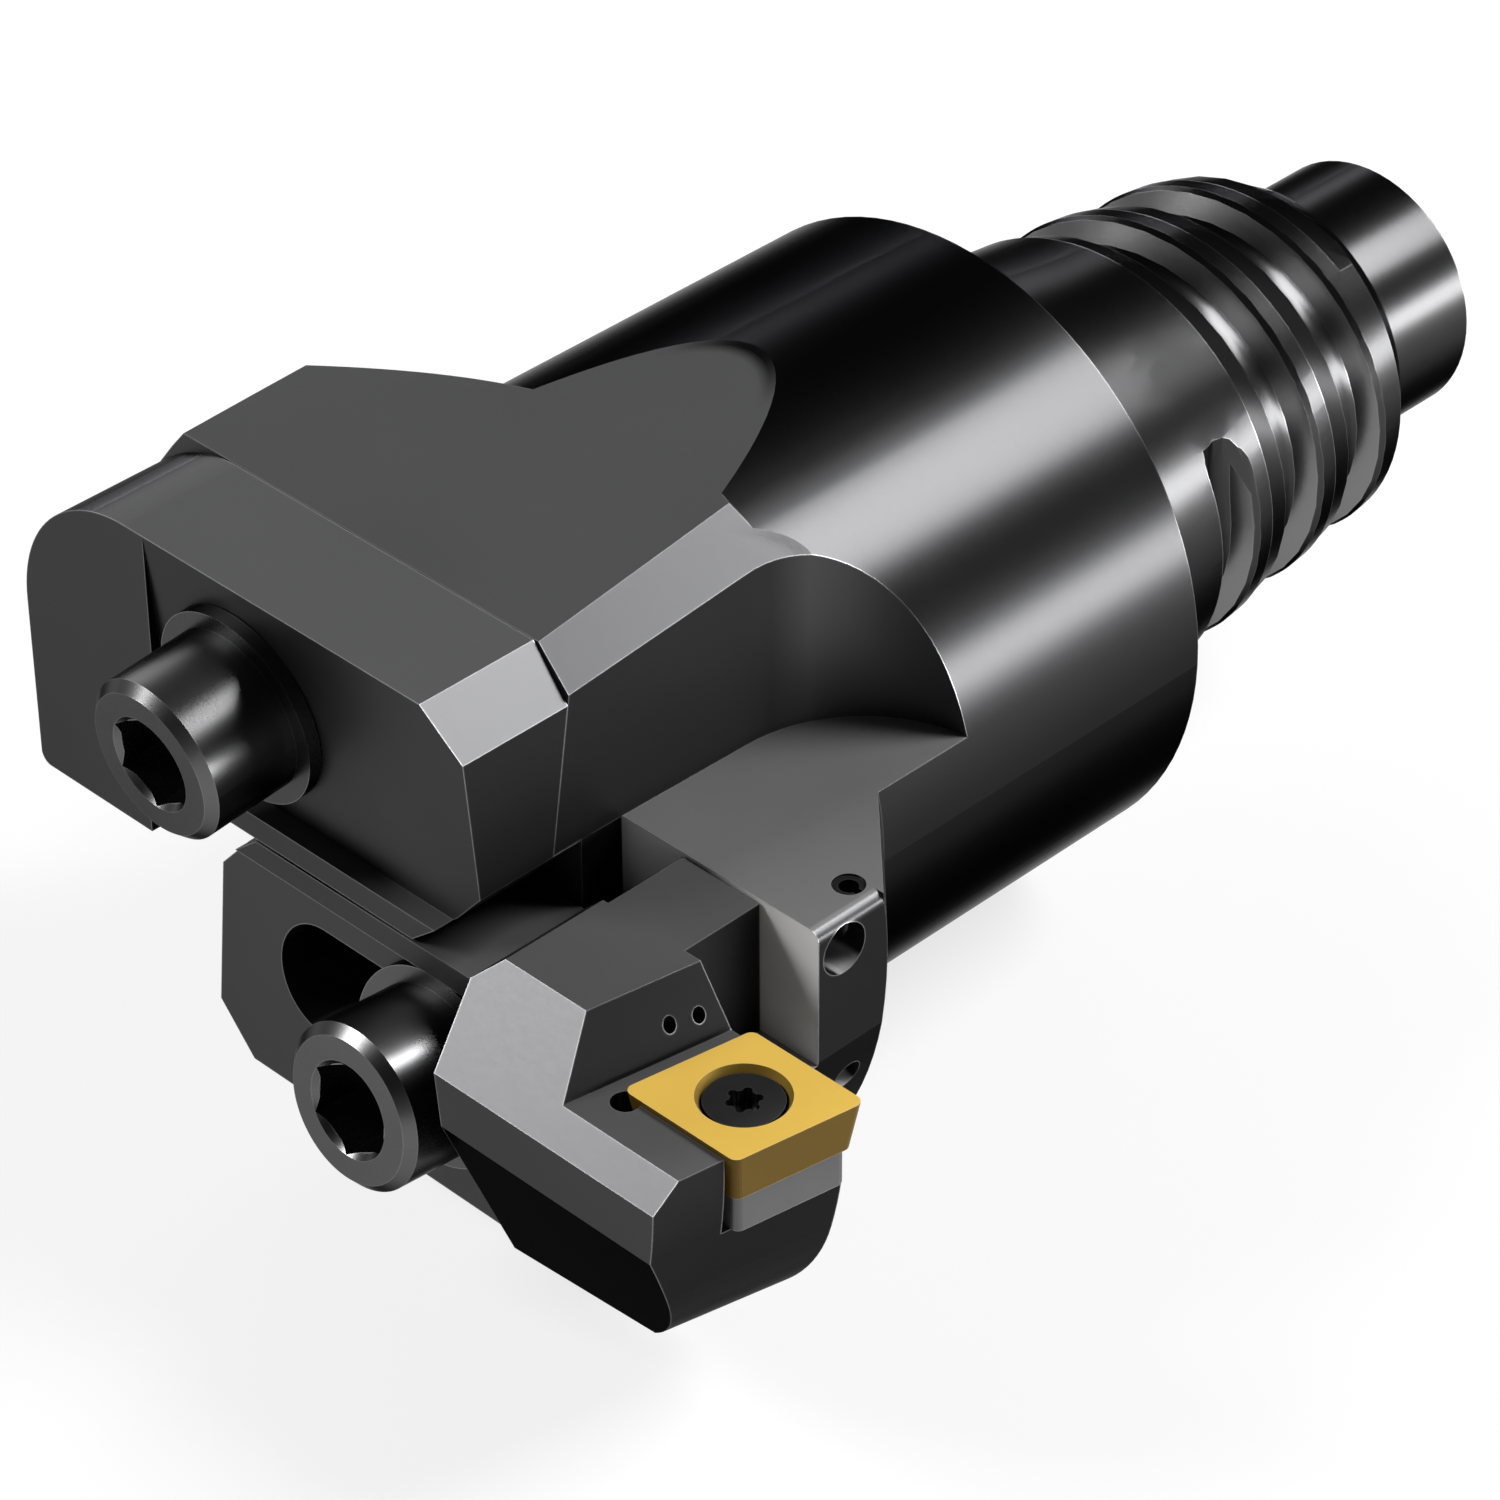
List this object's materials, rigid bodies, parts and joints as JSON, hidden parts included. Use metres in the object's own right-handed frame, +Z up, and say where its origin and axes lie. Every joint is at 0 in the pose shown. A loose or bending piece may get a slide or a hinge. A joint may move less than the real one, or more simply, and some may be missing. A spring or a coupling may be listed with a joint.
{
  "type": "back boring tool",
  "caption": "Back boring head: steel body with tapered screw-in coupling, a cover slide, and a radially adjustable slide whose insert cuts on the back stroke.",
  "frame": {"origin": "centre of the ring-shaped contact face between the body and the holder it screws into", "axes": "+Y along the tool axis towards the coupling, front of the tool towards -Y, +X along the slides towards the insert, +Z up, square to the insert's top face"},
  "size_m": [0.0937, 0.1485, 0.062],
  "materials": {
    "body_steel": "blackened tool steel, satin, with a thin oil film",
    "slide_steel": "blackened tool steel, satin",
    "screw_steel": "black oxide, semi-gloss",
    "insert_coating": "satin gold titanium nitride coating",
    "shim_carbide": "ground carbide, matt grey"
  },
  "bodies": {
    "body": {"body": "body_steel", "cover_slide": "slide_steel", "cover_clamp_screw": "screw_steel", "insert_clamp_screw": "screw_steel", "cover_washer": "screw_steel", "insert_slide_washer": "screw_steel", "retaining_pin": "screw_steel", "cover_side_retaining_pin": "screw_steel", "coolant_plugs": "screw_steel"},
    "insert_slide": {"insert_slide": "slide_steel", "cutting_insert": "insert_coating", "shim": "shim_carbide", "shim_sleeve": "screw_steel", "insert_screw": "screw_steel", "adjusting_nut": "screw_steel"},
    "adjusting_screw": {"adjusting_screw": "screw_steel"},
    "cover_side_adjusting_screw": {"cover_side_adjusting_screw": "screw_steel"}
  },
  "joints": [
    {"name": "insert_slide_travel", "type": "slide", "parent": "body", "child": "insert_slide", "axis": [1, 0, 0], "range_m": [-0.001, 0.004]},
    {"name": "adjusting_screw_turn", "type": "hinge", "parent": "body", "child": "adjusting_screw", "pos_m": [0.0346, -0.0556, 0.0038], "axis": [1, 0, 0], "range_deg": [-2880, 720]},
    {"name": "cover_side_screw_turn", "type": "hinge", "parent": "body", "child": "cover_side_adjusting_screw", "pos_m": [-0.0346, -0.0556, -0.0038], "axis": [-1, 0, 0], "continuous": true}
  ],
  "couplings": [
    {"joint": "adjusting_screw_turn", "follows": "insert_slide_travel", "rad_per_m": -12566}
  ]
}
